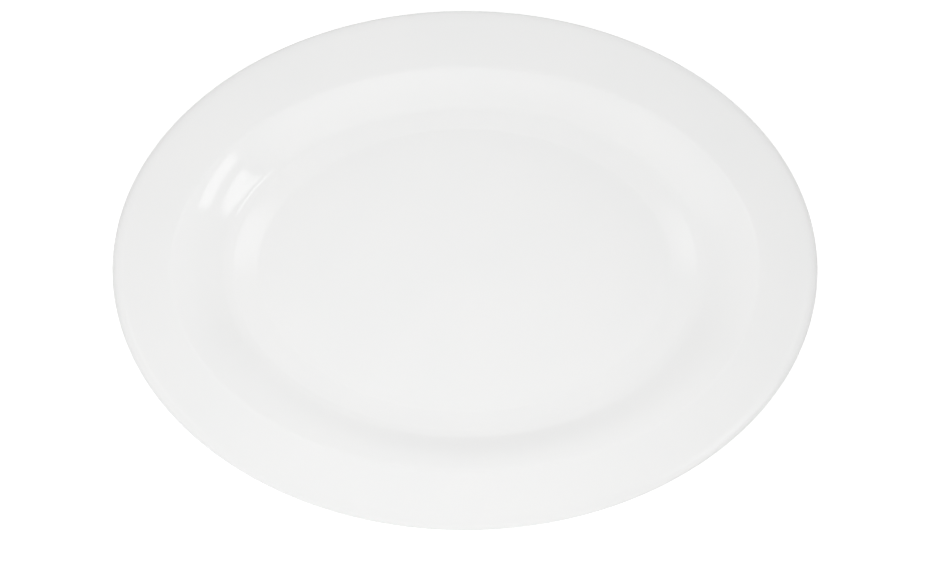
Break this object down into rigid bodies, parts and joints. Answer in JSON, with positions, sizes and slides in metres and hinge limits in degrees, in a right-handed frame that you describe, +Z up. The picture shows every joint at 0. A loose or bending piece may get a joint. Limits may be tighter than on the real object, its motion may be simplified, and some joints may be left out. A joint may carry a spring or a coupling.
{
  "type": "china serving platter",
  "caption": "Oval white glazed china serving platter with a wide plain rim, a curved wall and a shallow cove down to a flat well, and a low unglazed foot ring.",
  "frame": {"origin": "centre of the foot ring's standing plane", "axes": "+X along the long axis, +Y along the short axis, +Z up out of the well"},
  "size_m": [0.356, 0.2634, 0.0217],
  "materials": {
    "bisque_china": "unglazed, fine matt",
    "white_glaze": "clear white gloss"
  },
  "bodies": {
    "root": {"china_body": "bisque_china", "main_glaze": "white_glaze", "foot_recess_glaze": "white_glaze"}
  },
  "joints": []
}
